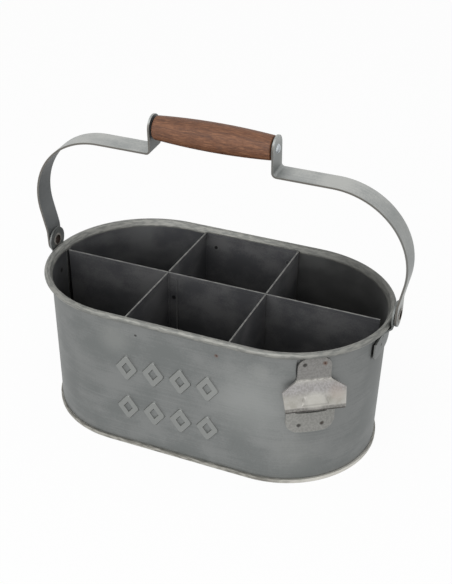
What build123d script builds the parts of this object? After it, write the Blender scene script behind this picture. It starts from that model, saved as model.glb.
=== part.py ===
from build123d import *
import math
import os

# Bottle caddy: an oval tub of galvanised sheet with six cells, a bail of two bent straps that swings
# on hollow rivets, a turned wooden grip on a headed rod, and a pressed bottle opener at the front.
# Millimetres. X runs along the tub, the front faces -Y, +Z is up, and the origin is on the table
# under the middle of the tub.

# Tub wall
flank_half = 77.5             # half a straight flank, so also the centre of each round end
sheet = 0.8                   # sheet of the wall
foot_radius = 96.9            # round end at the foot, to the middle of the sheet
flare_height = 7.0            # the wall stands upright below this and leans outward above
flare_bend_reach = 1.1        # of the bend there, to either side of its corner
lap_width = 8.0               # lap seam inside the left end
lap_start = 0.5               # from the middle plane to the edge of the lap
lap_gap = 1.2                 # from the floor, and from the start of the curl, to the lap

# Rolled rim
rim_radius = 104.1            # round end at the rim, to the middle of the bead
rim_height = 155.2            # middle of the bead
wire_diameter = 4.4
wire_gap = 0.2                # between the wire and the sheet rolled round it
curl_sweep = 314.0            # degrees that the sheet turns round the wire
throat_step = 1.6             # how far the sheet steps outward under the bead
throat_lean = 25.0            # degrees from upright, in that step
throat_bend_radius = 4.0

# Base
hook_half = 0.7               # from the middle of the hooked edge to the sheet on either side
hook_height = 4.0             # top of the hooked edge
pan_sheet = 0.6
pan_gap = 0.1                 # between the pan and the wall that it grips
floor_height = 5.0            # upper face of the floor
floor_corner = 1.8
foot_corner = 1.2             # of the rolled foot, on either side of the flat it stands on

# Pressed motif: two rows of four raised lozenge frames
motif_columns = 4
motif_rows = 2
motif_pitch = 29.0
motif_row_pitch = 48.0
motif_middle_x = -10.0
motif_middle_height = 72.0
motif_width = 26.0
motif_height = 34.0
motif_corner = 3.0
motif_stroke = 7.2
motif_lift = 1.4
motif_draft = 1.1             # how far each side of a stroke slopes in

# Spot welds, as shallow pits
weld_radius = 2.3
weld_depth = 0.3

# Long divider
divider_sheet = 0.8
divider_drop = 1.2            # its top lies this far below the middle of the bead
divider_end_gap = 4.8         # to the wall
hem_depth = 4.4               # folded top edge
hem_round = 0.6

# Cell inserts
cell_half = 54.5              # middle plane of each cross plate
insert_sheet = 0.8
insert_bend_radius = 1.5
insert_wall_gap = 0.05
flange_width = 11.0
flange_drop = 1.2             # flange and long divider's hem stay this far apart
web_weld_x = 42.5
web_weld_drop = 17.0          # below the top of the web
flange_weld_inset = 4.0       # from the edge of the flange
flange_weld_drop = 29.0       # upper weld of a flange, below its top
flange_weld_rise = 27.0       # lower weld of a flange, above the floor

# Ears
ear_sheet = 1.6
ear_seat_gap = 0.1
ear_bow_radius = 160.0        # flatter than the wall, so its sides stand off a little
ear_half_width = 27.5
ear_drop = 31.7               # from the middle of the bead to the lower edge
ear_corner_drop = 14.2
ear_shoulder_half = 17.0
ear_shoulder_drop = 10.2
ear_bottom_corner = 4.0
ear_neck_half = 10.0
ear_bend_radius = 2.4
ear_disc_radius = 13.6
ear_disc_foot_drop = 11.3     # the neck is upright from this far below the pivot
ear_bead_gap = 0.3            # between the rivet's flange and the bead
ear_weld_y = 12.5
ear_weld_rise = 10.5          # above the lower edge

# Pivots
pivot_rise = 8.1              # above the middle of the bead
barrel_radius = 5.2           # hollow rivet
barrel_wall = 0.6
barrel_gap = 0.08             # running fit of the straps
rivet_flange_radius = 6.8
rivet_flange = 0.6
rivet_edge = 0.25             # broken edges of the flanges
washer_radius = 9.0
washer_thickness = 0.8
washer_gap = 0.05
pivot_play = 0.15             # along the axis, on each side of a strap

# Bail straps
strap_width = 23.5
strap_thickness = 2.0
strap_lean = 4.3              # degrees toward the front, as it was left standing
splay_start = 12.0            # above the pivot
splay_bend_radius = 30.0
splay = 11.0                  # degrees that the strap leans outward
shoulder_radius = 75.5
run_rise = 129.3              # level run above the pivot
upright_x = 62.6
upright_bend_radius = 4.0
upright_rise = 166.0          # rounded top above the pivot

# Grip and its rod
grip_drop = 13.0              # axis below the rounded tops of the uprights
grip_end_gap = 1.8            # to each upright
grip_radius = 14.1
grip_end_radius = 11.6
grip_end_round = 1.6
rod_radius = 3.0
rod_gap = 0.05                # in the straps
bore_gap = 0.09               # in the grip
head_radius = 4.6
head_height = 2.4

# Bottle opener
opener_azimuth = 34.2         # degrees from straight ahead, round the right end
opener_rim_gap = 1.6          # from the bead down to the tab
opener_sheet = 1.7
opener_gap = 0.1
tab_half = 16.2
tab_top = 45.4                # heights in this list are over the opener's own middle line
tab_corner = 10.0
neck_corner = 5.0             # where the tab runs out into the hood's shoulders
hood_bend = 21.0
hood_bend_radius = 2.6
hood_shoulder = 12.5
hood_shoulder_half = 31.0
hood_shoulder_corner = 1.5
hood_lip_half = 29.0
hood_lip_corner = 0.8
hood_lip_top = -3.0
hood_lip_bottom = -6.4
hood_lip_bend_radius = 1.9
hood_out = 13.4
plate_half = 24.0
plate_bottom = -40.5
plate_corner = 12.0
wing_drop = 5.0               # the lower plate's shoulders lie this far below the hood's
mouth_half = 16.0
mouth_top = 9.0
mouth_drop = 11.5             # from the lip down to the lower edge of the mouth
mouth_corner = 1.7
pad_top_half = 10.5
pad_bottom_half = 13.5
pad_start = 14.6              # from the bend, down the slope
pad_end = 24.8
pad_lift = 0.7
pad_draft = 1.8
tab_weld_half = 9.2
tab_weld_drop = 6.9           # below the top of the tab
plate_weld_half = 11.0
plate_weld_rise = 8.5         # above the bottom of the lower plate

overrun = 20.0                # how far cutting bodies pass beyond what they cut


# Geometry that several pieces share
curl_radius = wire_diameter / 2 + wire_gap + sheet / 2
bead_radius = curl_radius + sheet / 2
lean_run = rim_radius - throat_step - foot_radius
lean_rise = rim_height - flare_height
lean_length = math.hypot(lean_run, lean_rise)
taper = math.degrees(math.atan2(lean_run, lean_rise) - math.asin(curl_radius / lean_length))
taper_slope = math.tan(math.radians(taper))
face_offset = sheet / 2 / math.cos(math.radians(taper))
hook_bottom = pan_sheet + pan_gap
divider_top = rim_height - divider_drop
web_weld_height = divider_top - web_weld_drop
ear_bottom = rim_height - ear_drop
ear_weld_height = ear_bottom + ear_weld_rise
pivot_height = rim_height + pivot_rise
pivot_axis = Axis((0, 0, pivot_height), (1, 0, 0))
grip_rise = upright_rise - grip_drop


def wall_radius(height):
    """Radius of a round end at a height, to the middle of the sheet."""
    return foot_radius + (height - flare_height) * taper_slope


def outer_radius(height):
    return wall_radius(height) + face_offset


def inner_radius(height):
    return wall_radius(height) - face_offset


def section_plane():
    """Plane of a wall section: local x is the radius of the round end and local y the height."""
    return Plane(origin=(flank_half, 0, 0), x_dir=(0, -1, 0), z_dir=(-1, 0, 0))


def oval_ring(section):
    """Carry a section round the whole oval."""
    placed = section_plane() * section
    end = revolve(placed, Axis((flank_half, 0, 0), (0, 0, 1)), 180)
    flank = extrude(placed, 2 * flank_half, dir=(-1, 0, 0))
    half = end + flank
    return half + half.rotate(Axis.Z, 180)


def end_plane(azimuth, height, radius):
    """Plane on the right round end, looking outward square to the leaning wall."""
    turn = math.radians(azimuth)
    lean = math.radians(taper)
    origin = (flank_half + radius * math.sin(turn), -radius * math.cos(turn), height)
    outward = (math.sin(turn) * math.cos(lean), -math.cos(turn) * math.cos(lean), -math.sin(lean))
    return Plane(origin=origin, x_dir=(math.cos(turn), math.sin(turn), 0), z_dir=outward)


def flank_plane(x, height, radius):
    """Plane on the front flank, looking outward square to the leaning wall."""
    lean = math.radians(taper)
    outward = (0, -math.cos(lean), -math.sin(lean))
    return Plane(origin=(x, -radius, height), x_dir=(1, 0, 0), z_dir=outward)


def weld_pit(plane):
    """Cutter for one spot weld: a shallow cone that widens outward through the face."""
    return plane * Cone(0, 2 * weld_radius, 2 * weld_depth)


# Tub
def throat_corner():
    """Where the leaning wall and the step under the bead would meet in a sharp corner."""
    lean = math.radians(taper)
    step_lean = math.radians(throat_lean)
    wall_reach = curl_radius + throat_step * math.cos(lean)
    turn = math.sin(step_lean - lean)
    across = (wall_reach * math.sin(step_lean) - curl_radius * math.sin(lean)) / turn
    down = (wall_reach * math.cos(step_lean) - curl_radius * math.cos(lean)) / turn
    return Vector(rim_radius - across, rim_height - down)


def wall_path():
    """Middle line of the wall sheet, from the foot up and round the wire."""
    lean = math.radians(taper)
    step_lean = math.radians(throat_lean)
    flare_bend_radius = flare_bend_reach / math.tan(abs(lean) / 2)
    throat_length = throat_bend_radius * math.tan((step_lean - lean) / 2)
    foot = Line((foot_radius, hook_bottom), (foot_radius, flare_height - flare_bend_reach))
    bend = JernArc(start=foot @ 1, tangent=foot % 1, radius=flare_bend_radius, arc_size=-taper)
    side = Line(bend @ 1, throat_corner() - Vector(math.sin(lean), math.cos(lean)) * throat_length)
    throat_turn = taper - throat_lean
    throat = JernArc(start=side @ 1, tangent=side % 1, radius=throat_bend_radius, arc_size=throat_turn)
    curl_start = Vector(-math.cos(step_lean), math.sin(step_lean)) * curl_radius
    step = Line(throat @ 1, curl_start + Vector(rim_radius, rim_height))
    curl = JernArc(start=step @ 1, tangent=step % 1, radius=curl_radius, arc_size=-curl_sweep)
    return Wire(foot.edges() + bend.edges() + side.edges() + throat.edges() + step.edges() + curl.edges())


def wall_hook():
    """Section of the lower edge, folded outward and up for the base seam."""
    width = 2 * hook_half + sheet
    height = hook_height - hook_bottom
    fold = Rectangle(width, height, align=(Align.CENTER, Align.MIN))
    room = Pos(0, sheet) * Rectangle(width - 2 * sheet, height, align=(Align.CENTER, Align.MIN))
    return Pos(foot_radius + hook_half, hook_bottom) * (fold - room)


def lap_seam():
    """Second thickness of sheet where the ends of the wall overlap, inside the left end."""
    bottom = floor_height + lap_gap
    top = rim_height - bead_radius - lap_gap
    step = 2 * face_offset
    line = Line((wall_radius(bottom) - step, bottom), (wall_radius(top) - step, top))
    section = section_plane() * trace(line, line_width=sheet)
    start = math.degrees(lap_start / wall_radius(rim_height))
    angle = math.degrees(lap_width / wall_radius(rim_height))
    axis = Axis((flank_half, 0, 0), (0, 0, 1))
    strip = revolve(section.rotate(axis, 90 - start - angle), axis, angle)
    return strip.rotate(Axis.Z, 180)


def lozenge(inset, corner):
    """Lozenge drawn in by an even distance on all sides, with rounded corners unless the corner is 0."""
    half_width = motif_width / 2
    half_height = motif_height / 2
    reach = half_width * half_height / math.hypot(half_width, half_height)
    share = (reach - inset) / reach
    x = half_width * share
    y = half_height * share
    outline = Polygon((-x, 0), (0, -y), (x, 0), (0, y), align=None)
    if corner:
        outline = fillet(outline.vertices(), corner * share)
    return outline.face()


def lozenge_block(base, top, base_inset, top_inset, corner):
    """Block with sloping sides between two levels over the wall's face."""
    low = Plane.XY.offset(base) * lozenge(base_inset, corner)
    high = Plane.XY.offset(top) * lozenge(top_inset, corner)
    return loft([low, high], ruled=True)


def lozenge_frame(base, top, inset, stroke, corner):
    """Frame whose stroke is widest at the base."""
    outside = lozenge_block(base, top, inset, inset + motif_draft, corner)
    inside = lozenge_block(base, top, inset + stroke, inset + stroke - motif_draft, 0)
    return outside - inside


def motif_planes():
    planes = []
    for column in range(motif_columns):
        for row in range(motif_rows):
            x = motif_middle_x + (column - (motif_columns - 1) / 2) * motif_pitch
            height = motif_middle_height + (row - (motif_rows - 1) / 2) * motif_row_pitch
            planes.append(flank_plane(x, height, outer_radius(height)))
    return planes


def pressed_motif(wall):
    """Press the lozenges outward: a raised frame outside and its hollow inside."""
    raised = lozenge_frame(-sheet / 2, motif_lift, 0, motif_stroke, motif_corner)
    hollow = lozenge_frame(-2 * sheet, motif_lift - sheet, sheet, motif_stroke - 2 * sheet, 0)
    for plane in motif_planes():
        wall = wall + plane * raised
    for plane in motif_planes():
        wall = wall - plane * hollow
    return wall


def tub_wall():
    wall = oval_ring(trace(wall_path(), line_width=sheet) + wall_hook()) + lap_seam()
    wall = pressed_motif(wall)
    for x in (-web_weld_x, web_weld_x):
        pit = weld_pit(flank_plane(x, web_weld_height, outer_radius(web_weld_height)))
        wall = wall - pit - pit.rotate(Axis.Z, 180)
    for y in (-ear_weld_y, ear_weld_y):
        radius = inner_radius(ear_weld_height)
        azimuth = 90 + math.degrees(math.asin(y / radius))
        pit = weld_pit(end_plane(azimuth, ear_weld_height, radius))
        wall = wall - pit - pit.rotate(Axis.Z, 180)
    return wall


def rim_wire():
    return oval_ring(Pos(rim_radius, rim_height) * Circle(wire_diameter / 2))


def base_pan():
    """Raised floor whose skirt runs down inside the wall and closes round its hooked edge."""
    fold_half = hook_half + sheet / 2 + pan_gap
    middle = foot_radius + hook_half
    skirt_face = middle - fold_half
    leaf_face = middle + fold_half
    lip_bottom = hook_height + pan_gap
    lip_end = foot_radius + sheet / 2 + pan_gap
    section = Polygon(
        (0, floor_height),
        (skirt_face, floor_height),
        (skirt_face, pan_sheet),
        (leaf_face, pan_sheet),
        (leaf_face, lip_bottom),
        (lip_end, lip_bottom),
        (lip_end, lip_bottom + pan_sheet),
        (leaf_face + pan_sheet, lip_bottom + pan_sheet),
        (leaf_face + pan_sheet, 0),
        (skirt_face - pan_sheet, 0),
        (skirt_face - pan_sheet, floor_height - pan_sheet),
        (0, floor_height - pan_sheet),
        align=None,
    )
    section = fillet(section.vertices().group_by(Axis.Y)[0], foot_corner)
    floor_edge = section.vertices().group_by(Axis.Y)[-1].sort_by(Axis.X)[-1]
    return oval_ring(fillet(floor_edge, floor_corner))


# Cells
def long_divider():
    """Plate along the middle, its ends beside the leaning wall, its top edge folded over to the front."""
    foot_half = flank_half + inner_radius(floor_height) - divider_end_gap
    top_half = flank_half + inner_radius(divider_top) - divider_end_gap
    outline = Polygon(
        (-foot_half, floor_height),
        (foot_half, floor_height),
        (top_half, divider_top),
        (-top_half, divider_top),
        align=None,
    )
    plate = extrude(Plane.XZ * outline, divider_sheet / 2, both=True)
    front = extrude(Plane.XZ.offset(divider_sheet / 2) * outline, divider_sheet)
    below = Plane.XY.offset(divider_top - hem_depth)
    plate = plate + split(front, below, keep=Keep.TOP)
    top_edges = plate.faces().sort_by(Axis.Z)[-1].edges().filter_by(Axis.X)
    return fillet(top_edges, hem_round)


def insert_section(depth, inset):
    """Plan of the folded insert at one height: flange, cross plate, web, cross plate and flange."""
    half = cell_half - inset
    seat = -(divider_sheet + insert_sheet) / 2
    back = -depth + inset
    flange_end = cell_half + insert_sheet / 2 - flange_width
    right = [(half, back), (half, seat), (flange_end, seat)]
    left = [(-x, y) for x, y in reversed(right)]
    path = FilletPolyline(*left, *right, radius=insert_bend_radius - inset)
    return trace(path, line_width=insert_sheet)


def insert_loft(bottom, top, inset):
    """Folded sheet between two heights, with its web on the leaning wall."""
    sections = []
    for height in (bottom, top):
        depth = inner_radius(height) - insert_wall_gap - insert_sheet / 2
        section = Plane.XY.offset(height) * insert_section(depth, inset)
        sections.append(section.face())
    return loft(sections, ruled=True)


def cell_insert():
    """Front insert. The rear one is its mirror image."""
    body = insert_loft(floor_height, divider_top, 0)
    hem = insert_loft(divider_top - hem_depth, divider_top, insert_sheet)
    body = body + hem
    notch_bottom = divider_top - hem_depth - flange_drop
    notch_front = -(divider_sheet / 2 + divider_sheet + insert_wall_gap)
    notch = Pos(0, notch_front, notch_bottom) * Box(
        2 * cell_half + overrun, overrun, overrun, align=(Align.CENTER, Align.MIN, Align.MIN)
    )
    body = body - notch
    web_face = inner_radius(web_weld_height) - insert_wall_gap - insert_sheet
    for x in (-web_weld_x, web_weld_x):
        body = body - weld_pit(flank_plane(x, web_weld_height, web_face))
    flange_face = -divider_sheet / 2 - insert_sheet
    weld_x = cell_half + insert_sheet / 2 - flange_width + flange_weld_inset
    for x in (-weld_x, weld_x):
        for height in (floor_height + flange_weld_rise, divider_top - flange_weld_drop):
            face = Plane(origin=(x, flange_face, height), x_dir=(1, 0, 0), z_dir=(0, -1, 0))
            body = body - weld_pit(face)
    return body


# Ears and pivots
ear_corner_height = rim_height - ear_corner_drop
ear_shoulder_height = rim_height - ear_shoulder_drop
ear_x = flank_half + rim_radius + bead_radius + ear_bead_gap + rivet_flange
strap_x = ear_x + ear_sheet + 2 * washer_gap + washer_thickness + pivot_play + strap_thickness / 2


def ear_plate():
    """Bowed lower plate that is welded to the wall."""
    low = ear_bottom - ear_sheet
    high = ear_shoulder_height + ear_sheet
    offset_x = flank_half + ear_seat_gap + ear_sheet / 2
    line = Line((offset_x + outer_radius(low), low), (offset_x + outer_radius(high), high))
    section = Plane.XZ * trace(line, line_width=ear_sheet)
    middle = (ear_bottom + ear_shoulder_height) / 2
    bow_axis = Axis((flank_half + outer_radius(middle) - ear_bow_radius, 0, 0), (0, 0, 1))
    angle = math.degrees(ear_half_width / ear_bow_radius) + taper
    shell = revolve(section.rotate(bow_axis, -angle), bow_axis, 2 * angle)
    outline = Polygon(
        (-ear_half_width, ear_bottom),
        (ear_half_width, ear_bottom),
        (ear_half_width, ear_corner_height),
        (ear_shoulder_half, ear_shoulder_height),
        (-ear_shoulder_half, ear_shoulder_height),
        (-ear_half_width, ear_corner_height),
        align=None,
    )
    outline = fillet(outline.vertices().sort_by(Axis.Y)[:2], ear_bottom_corner)
    return shell & extrude(Plane.YZ * outline, 2 * (flank_half + rim_radius))


def ear_neck():
    """Neck that steps out round the bead, and the disc above it."""
    low = ear_corner_height
    bend = ear_shoulder_height
    plate_offset = flank_half + ear_seat_gap + ear_sheet / 2
    disc_x = ear_x + ear_sheet / 2
    path = FilletPolyline(
        (plate_offset + outer_radius(low), low),
        (plate_offset + outer_radius(bend), bend),
        (disc_x, pivot_height - ear_disc_foot_drop),
        (disc_x, pivot_height + ear_disc_radius),
        radius=ear_bend_radius,
    )
    strip = extrude(Plane.XZ * trace(path, line_width=ear_sheet), ear_disc_radius, both=True)
    neck = Pos(0, (low + pivot_height) / 2) * Rectangle(2 * ear_neck_half, pivot_height - low + ear_sheet)
    outline = neck + Pos(0, pivot_height) * Circle(ear_disc_radius)
    return strip & extrude(Plane.YZ * outline, 2 * (flank_half + rim_radius))


def ear():
    """Right ear. The left one is the same, turned half round."""
    body = ear_plate() + ear_neck()
    hole = Plane(origin=(ear_x, 0, pivot_height), z_dir=(1, 0, 0)) * Cylinder(barrel_radius, overrun)
    body = body - hole
    for y in (-ear_weld_y, ear_weld_y):
        x = flank_half + outer_radius(ear_weld_height) + ear_seat_gap + ear_sheet
        sag = ear_bow_radius - math.sqrt(ear_bow_radius**2 - y**2)
        tilt = math.degrees(math.asin(y / ear_bow_radius))
        spot = Plane(origin=(x - sag, y, ear_weld_height), z_dir=(1, 0, 0)).rotated((0, 0, tilt))
        body = body - weld_pit(spot)
    return body


def turned(points):
    """Body turned about the pivot axis from (x, radius) points."""
    outline = Polygon(*points, align=None)
    section = Plane(origin=(0, 0, pivot_height), x_dir=(1, 0, 0), z_dir=(0, -1, 0)) * outline
    return revolve(section, pivot_axis, 360)


def pivot_rivet():
    """Hollow rivet: a thin barrel with a flange set over at each end."""
    start = ear_x - rivet_flange
    outer_seat = strap_x + strap_thickness / 2 + pivot_play
    end = outer_seat + rivet_flange
    hole = barrel_radius - barrel_wall
    rim = rivet_flange_radius
    return turned(
        (
            (start + rivet_edge, hole),
            (start, hole + rivet_edge),
            (start, rim - rivet_edge),
            (start + rivet_edge, rim),
            (ear_x, rim),
            (ear_x, barrel_radius),
            (outer_seat, barrel_radius),
            (outer_seat, rim),
            (end - rivet_edge, rim),
            (end, rim - rivet_edge),
            (end, hole + rivet_edge),
            (end - rivet_edge, hole),
        )
    )


def pivot_washer():
    start = ear_x + ear_sheet + washer_gap
    end = start + washer_thickness
    bore = barrel_radius + barrel_gap
    return turned(((start, bore), (start, washer_radius), (end, washer_radius), (end, bore)))


# Bail
def strap_path():
    """Middle line of the right strap, from below the pivot to the rounded top of its upright."""
    lean = math.radians(splay)
    bend_rise = splay_start + splay_bend_radius * math.sin(lean)
    side_rise = run_rise - shoulder_radius * (1 + math.sin(lean)) - bend_rise
    foot = Line((strap_x, -strap_width), (strap_x, splay_start))
    bend = JernArc(start=foot @ 1, tangent=foot % 1, radius=splay_bend_radius, arc_size=-splay)
    side = Line(bend @ 1, bend @ 1 + (bend % 1) * (side_rise / math.cos(lean)))
    shoulder = JernArc(start=side @ 1, tangent=side % 1, radius=shoulder_radius, arc_size=90 + splay)
    run = Line(shoulder @ 1, (upright_x + upright_bend_radius, run_rise))
    corner = JernArc(start=run @ 1, tangent=run % 1, radius=upright_bend_radius, arc_size=-90)
    upright = Line(corner @ 1, (upright_x, upright_rise + strap_width))
    edges = foot.edges() + bend.edges() + side.edges() + shoulder.edges() + run.edges()
    return Wire(edges + corner.edges() + upright.edges())


def cross_hole(x, rise, radius):
    """Cutter along X through one wall of a strap."""
    return Plane(origin=(x, 0, rise), z_dir=(1, 0, 0)) * Cylinder(radius, overrun)


def bail_strap():
    """Right strap with both ends rounded, its pivot hole and the hole for the rod."""
    half = strap_width / 2
    band = extrude(Plane.XZ * trace(strap_path(), line_width=strap_thickness), half, both=True)
    length = upright_rise - half
    outline = Pos(0, length / 2) * SlotCenterToCenter(length, strap_width, rotation=90)
    reach = flank_half + rim_radius + 2 * shoulder_radius
    body = band & extrude(Plane.YZ * outline, reach)
    body = body - cross_hole(strap_x, 0, barrel_radius + barrel_gap)
    body = body - cross_hole(upright_x, grip_rise, rod_radius + rod_gap)
    return Pos(0, 0, pivot_height) * body


def grip_rod():
    """Rod through both uprights, with a domed head on each outer face."""
    half = upright_x + strap_thickness / 2
    dome_radius = (head_radius**2 + head_height**2) / (2 * head_height)
    outline = make_face(
        [
            Line((0, 0), (half + head_height, 0)),
            RadiusArc((half + head_height, 0), (half, head_radius), -dome_radius),
            Line((half, head_radius), (half, rod_radius)),
            Line((half, rod_radius), (0, rod_radius)),
            Line((0, rod_radius), (0, 0)),
        ]
    )
    right = revolve(Plane.XZ * outline, Axis.X, 360)
    return Pos(0, 0, pivot_height + grip_rise) * (right + mirror(right, about=Plane.YZ))


def grip():
    """Barrel-shaped grip, turned from wood, with a bore for the rod."""
    half = upright_x - strap_thickness / 2 - grip_end_gap
    bore = rod_radius + bore_gap
    outline = make_face(
        [
            ThreePointArc((-half, grip_end_radius), (0, grip_radius), (half, grip_end_radius)),
            Line((half, grip_end_radius), (half, bore)),
            Line((half, bore), (-half, bore)),
            Line((-half, bore), (-half, grip_end_radius)),
        ]
    )
    outline = fillet(outline.vertices().group_by(Axis.Y)[-1], grip_end_round)
    return Pos(0, 0, pivot_height + grip_rise) * revolve(Plane.XZ * outline, Axis.X, 360)


# Bottle opener, drawn flat: local x across, local y up the wall, local z outward
opener_height = rim_height - bead_radius - opener_rim_gap - tab_top
hood_seat = opener_gap + opener_sheet / 2
hood_run = hood_out - opener_sheet / 2 - hood_seat
hood_fall = hood_bend - hood_lip_top
hood_slope = math.hypot(hood_run, hood_fall)


def hood_outline():
    """Front view of tab and hood: the tab runs out into wide shoulders over the lip."""
    left = [
        (-tab_half, tab_top),
        (-tab_half, hood_bend),
        (-hood_shoulder_half, hood_shoulder),
        (-hood_lip_half, hood_lip_bottom),
    ]
    right = [(-x, y) for x, y in reversed(left)]
    outline = Polygon(*left, *right, align=None)
    corners = (hood_lip_corner, hood_shoulder_corner, neck_corner, tab_corner)
    for level in reversed(range(len(corners))):
        outline = fillet(outline.vertices().group_by(Axis.Y)[level], corners[level])
    return outline


def opener_hood():
    """Tab, sloping hood and turned-down lip, bent from one sheet and open at the sides."""
    side_plane = Plane(origin=(0, 0, 0), x_dir=(0, 0, 1), z_dir=(-1, 0, 0))
    reach = hood_seat + hood_run
    path = FilletPolyline(
        (hood_seat, tab_top + overrun),
        (hood_seat, hood_bend),
        (reach, hood_lip_top),
        (reach, hood_lip_bottom - overrun),
        radius=[hood_bend_radius, hood_lip_bend_radius],
    )
    band = extrude(side_plane * trace(path, line_width=opener_sheet), 2 * hood_shoulder_half, both=True)
    hood = band & extrude(hood_outline(), 2 * overrun, both=True)
    spot = Plane.XY.offset(opener_gap + opener_sheet)
    for x in (-tab_weld_half, tab_weld_half):
        hood = hood - Pos(x, tab_top - tab_weld_drop, 0) * weld_pit(spot)
    return hood


def pad_outline(inset):
    """Outline of the pad on the slope, wider toward the lip, drawn in on all sides."""
    middle = (pad_start + pad_end) / 2
    top = middle - pad_start - inset
    bottom = middle - pad_end + inset
    left = [(inset - pad_top_half, top), (inset - pad_bottom_half, bottom)]
    right = [(-x, y) for x, y in reversed(left)]
    return Polygon(*left, *right, align=None).face()


def opener_pad():
    """Raised pad in the middle of the hood's slope, close above the lip."""
    share = (pad_start + pad_end) / 2 / hood_slope
    middle = (0, hood_bend - hood_fall * share, hood_seat + hood_run * share)
    slope = Plane(origin=middle, x_dir=(1, 0, 0), z_dir=(0, hood_run / hood_slope, hood_fall / hood_slope))
    face = opener_sheet / 2
    low = slope.offset(face - pad_lift) * pad_outline(-pad_draft)
    high = slope.offset(face + pad_lift) * pad_outline(pad_draft)
    return loft([low, high], ruled=True)


def opener_plate(place):
    """Lower plate, bent to the round end, with the mouth cut through it behind the lip."""
    bottom = opener_height + plate_bottom - overrun
    top = opener_height + hood_bend + overrun
    line = Line((outer_radius(bottom) + hood_seat, bottom), (outer_radius(top) + hood_seat, top))
    section = section_plane() * trace(line, line_width=opener_sheet)
    shell = revolve(section, Axis((flank_half, 0, 0), (0, 0, 1)), 180)
    shoulder_fall = (hood_bend - hood_shoulder) / (hood_shoulder_half - tab_half)
    wing_top = hood_bend - wing_drop
    left = [
        (-plate_half, plate_bottom),
        (-plate_half, wing_top - (plate_half - tab_half) * shoulder_fall),
        (-tab_half, wing_top),
        (-tab_half, hood_bend + hood_bend_radius),
    ]
    right = [(-x, y) for x, y in reversed(left)]
    outline = Polygon(*left, *right, align=None)
    outline = fillet(outline.vertices().group_by(Axis.Y)[0], plate_corner)
    mouth_bottom = hood_lip_bottom - mouth_drop
    mouth = Pos(0, (mouth_top + mouth_bottom) / 2) * Rectangle(2 * mouth_half, mouth_top - mouth_bottom)
    mouth = fillet(mouth.vertices(), mouth_corner)
    plate = shell & (place * extrude(outline - mouth, overrun, both=True))
    turn = math.degrees(math.asin(plate_weld_half / outer_radius(opener_height)))
    spot_height = opener_height + plate_bottom + plate_weld_rise
    face = outer_radius(spot_height) + opener_gap + opener_sheet
    for azimuth in (opener_azimuth - turn, opener_azimuth + turn):
        plate = plate - weld_pit(end_plane(azimuth, spot_height, face))
    return plate


def bottle_opener():
    place = end_plane(opener_azimuth, opener_height, outer_radius(opener_height))
    return place * (opener_hood() + opener_pad()) + opener_plate(place)


def lean_bail(shape):
    """Turn a piece of the bail about its pivots to where it was left standing."""
    return shape.rotate(pivot_axis, strap_lean)


def to_left(shape):
    return mirror(shape, about=Plane.YZ)


front_insert = cell_insert()
right_ear = ear()
right_rivet = pivot_rivet()
right_washer = pivot_washer()
right_strap = lean_bail(bail_strap())

pieces = {
    "tub_wall": tub_wall(),
    "rim_wire": rim_wire(),
    "base_pan": base_pan(),
    "long_divider": long_divider(),
    "front_cell_insert": front_insert,
    "rear_cell_insert": mirror(front_insert, about=Plane.XZ),
    "ear_left": to_left(right_ear),
    "ear_right": right_ear,
    "pivot_rivet_left": to_left(right_rivet),
    "pivot_rivet_right": right_rivet,
    "pivot_washer_left": to_left(right_washer),
    "pivot_washer_right": right_washer,
    "bail_strap_left": to_left(right_strap),
    "bail_strap_right": right_strap,
    "grip_rod": lean_bail(grip_rod()),
    "grip": lean_bail(grip()),
    "bottle_opener": bottle_opener(),
}

os.makedirs("parts", exist_ok=True)
for name, piece in pieces.items():
    export_step(piece, f"parts/{name}.step")
    box = piece.bounding_box()
    height = f"z {box.min.Z:.1f} to {box.max.Z:.1f}"
    print(f"{name}: {len(piece.solids())} solid, {piece.volume:.0f} mm3, {height}")
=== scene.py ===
"""Looks of an oval galvanised bottle caddy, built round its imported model."""

import logging
import math
from dataclasses import dataclass, field
from enum import Enum, IntEnum
from typing import Any

import bpy
from mathutils import Matrix, Vector


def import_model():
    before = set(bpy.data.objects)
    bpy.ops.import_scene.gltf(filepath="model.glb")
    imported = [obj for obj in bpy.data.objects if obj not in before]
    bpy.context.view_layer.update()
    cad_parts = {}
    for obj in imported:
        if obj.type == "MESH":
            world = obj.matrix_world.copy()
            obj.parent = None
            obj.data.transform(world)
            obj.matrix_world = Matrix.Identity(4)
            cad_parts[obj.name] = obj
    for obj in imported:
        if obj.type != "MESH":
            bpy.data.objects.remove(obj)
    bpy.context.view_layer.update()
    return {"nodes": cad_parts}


LOG = logging.getLogger("caddy")
MM = 0.001

Socket = bpy.types.NodeSocket
Node = bpy.types.Node
Tree = bpy.types.NodeTree
Object = bpy.types.Object
Material = bpy.types.Material
Colour = tuple[float, float, float, float]
Point = tuple[float, float, float]
Span = tuple[float, float]
Inputs = dict[int | str, Any]

WHITE: Colour = (1.0, 1.0, 1.0, 1.0)
ALL_WAYS: Point = (1.0, 1.0, 1.0)


class Seed(IntEnum):
    """How far each pattern is shifted, in blots, so that no two patterns coincide."""

    CLOUDS = 0
    LINES = 3
    FIBRE = 4
    GRAIN = 7
    FLECKS = 9
    DENTS = 11
    RAGGED = 21
    MOTTLE = 31


class StainAndShade(Enum):
    """What stains the zinc, and the near-black of painted shade and painted shadow lines."""

    BURNT = "#2F2D2B"
    # Soot of the welds, and also the painted shadow lines in gaps and beside flange edges
    SOOT_AND_SHADOW = "#151515"
    SCORCH = "#1D1C1D"
    SHADE = "#0E0D0E"
    RUST = "#70564A"
    RUST_CORE = "#42342E"
    DARK_RUST = "#33241D"
    # Rust in the rivets' bores, darkened further as painted shade
    BORE_RUST_AND_SHADE = "#20140D"
    GRIME = "#45423E"
    BROWN = "#3A322D"


# Node helpers


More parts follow.
